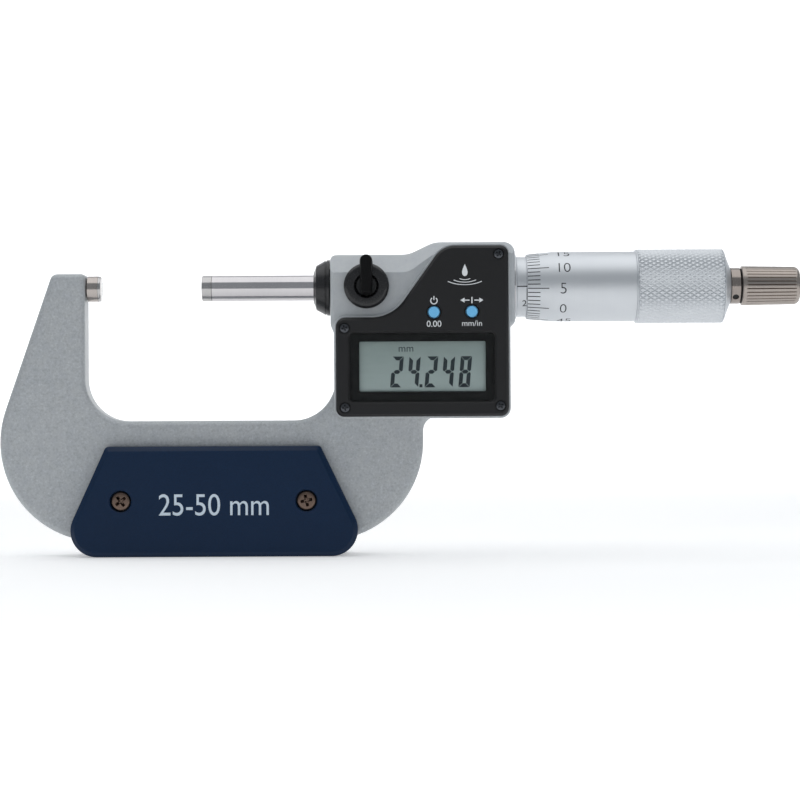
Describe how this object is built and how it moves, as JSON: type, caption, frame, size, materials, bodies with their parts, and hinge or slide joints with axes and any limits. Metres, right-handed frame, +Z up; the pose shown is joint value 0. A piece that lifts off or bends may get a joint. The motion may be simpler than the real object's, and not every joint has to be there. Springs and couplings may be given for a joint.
{
  "type": "outside micrometer",
  "caption": "C-frame outside micrometer with a digital readout, spindle lock lever, graduated sleeve and thimble, grip plates and a ratchet stop.",
  "frame": {"origin": "centre of the anvil's measuring face, on the spindle axis", "axes": "+X along the spindle from the anvil to the ratchet, +Z up away from the frame's bow, display faces -Y"},
  "size_m": [0.1982, 0.0253, 0.077],
  "materials": {
    "frame_paint": "fine grained paint, satin",
    "satin_chrome": "satin chrome plate",
    "ground_steel": "ground",
    "carbide": "lapped",
    "ratchet_steel": "turned, warm tone",
    "black_plastic": "fine satin",
    "navy_plastic": "satin",
    "button_blue": "semi-gloss",
    "window_clear": "clear",
    "display_glass": "clear, grey backed",
    "seal_rubber": "matt",
    "screw_nickel": "nickel plate",
    "screw_black": "blackened",
    "brass_metal": "turned",
    "board_green": "lacquered",
    "flex_amber": "film",
    "cell_steel": "bright"
  },
  "bodies": {
    "frame": {"frame": "frame_paint", "anvil": "ground_steel", "anvil_carbide_tip": "carbide", "nose_cap": "black_plastic", "wiper_seal": "seal_rubber", "inner_sleeve": "ground_steel", "adjusting_nut": "ground_steel", "graduated_sleeve": "satin_chrome", "encoder_stator": "board_green", "flex_cable": "flex_amber", "main_board": "board_green", "lcd_glass": "display_glass", "lcd_holder": "black_plastic", "zebra_connector": "seal_rubber", "dome_switch_power": "cell_steel", "dome_switch_mode": "cell_steel", "bezel": "black_plastic", "display_window": "window_clear", "bezel_gasket": "seal_rubber", "bezel_screw_1": "screw_black", "bezel_screw_2": "screw_black", "bezel_screw_3": "screw_black", "bezel_screw_4": "screw_black", "grip_plate_front": "navy_plastic", "grip_plate_rear": "navy_plastic", "grip_screw_front_1": "screw_nickel", "grip_screw_front_2": "screw_nickel", "grip_screw_rear_1": "screw_nickel", "grip_screw_rear_2": "screw_nickel", "battery_cell": "cell_steel", "battery_contact_minus": "brass_metal", "battery_contact_plus": "brass_metal"},
    "encoder_rotor": {"rotor_disc": "display_glass", "rotor_bush": "brass_metal", "rotor_key": "ground_steel", "rotor_spring": "ground_steel"},
    "spindle_group": {"spindle": "ground_steel", "spindle_carbide_tip": "carbide", "thimble": "satin_chrome", "ratchet_neck": "ratchet_steel", "ratchet_end_screw": "screw_black"},
    "ratchet": {"ratchet_knob": "ratchet_steel", "ratchet_click_ring": "ground_steel", "ratchet_spring": "ground_steel"},
    "lock_lever": {"lock_lever": "black_plastic"},
    "lock_pad": {"lock_pad": "brass_metal"},
    "power_set_button": {"power_set_button": "button_blue"},
    "mode_units_button": {"mode_units_button": "button_blue"},
    "battery_cover": {"battery_cover": "black_plastic", "battery_o_ring": "seal_rubber"}
  },
  "joints": [
    {"name": "rotor_turn", "type": "hinge", "parent": "frame", "child": "encoder_rotor", "pos_m": [0, 0, 0], "axis": [1, 0, 0], "range_deg": [-39.61, 17960.41]},
    {"name": "spindle_advance", "type": "slide", "parent": "encoder_rotor", "child": "spindle_group", "axis": [1, 0, 0], "range_m": [-0.00006, 0.02494]},
    {"name": "ratchet_turn", "type": "hinge", "parent": "spindle_group", "child": "ratchet", "pos_m": [0.16, 0, 0], "axis": [1, 0, 0], "continuous": true},
    {"name": "lock_lever_turn", "type": "hinge", "parent": "frame", "child": "lock_lever", "pos_m": [0.066, -0.0095, 0], "axis": [0, 1, 0], "range_deg": [0, 60]},
    {"name": "lock_pad_press", "type": "slide", "parent": "frame", "child": "lock_pad", "axis": [0, 1, 0], "range_m": [0, 0.0001166]},
    {"name": "power_set_press", "type": "slide", "parent": "frame", "child": "power_set_button", "axis": [0, 1, 0], "range_m": [0, 0.0004], "stiffness_N_per_m": 300},
    {"name": "mode_units_press", "type": "slide", "parent": "frame", "child": "mode_units_button", "axis": [0, 1, 0], "range_m": [0, 0.0004], "stiffness_N_per_m": 300},
    {"name": "battery_cover_lift", "type": "slide", "parent": "frame", "child": "battery_cover", "axis": [0, 1, 0], "range_m": [0, 0.012]}
  ],
  "couplings": [
    {"joint": "rotor_turn", "follows": "spindle_advance", "rad_per_m": 12566},
    {"joint": "lock_lever_turn", "follows": "lock_pad_press", "rad_per_m": 8976}
  ]
}
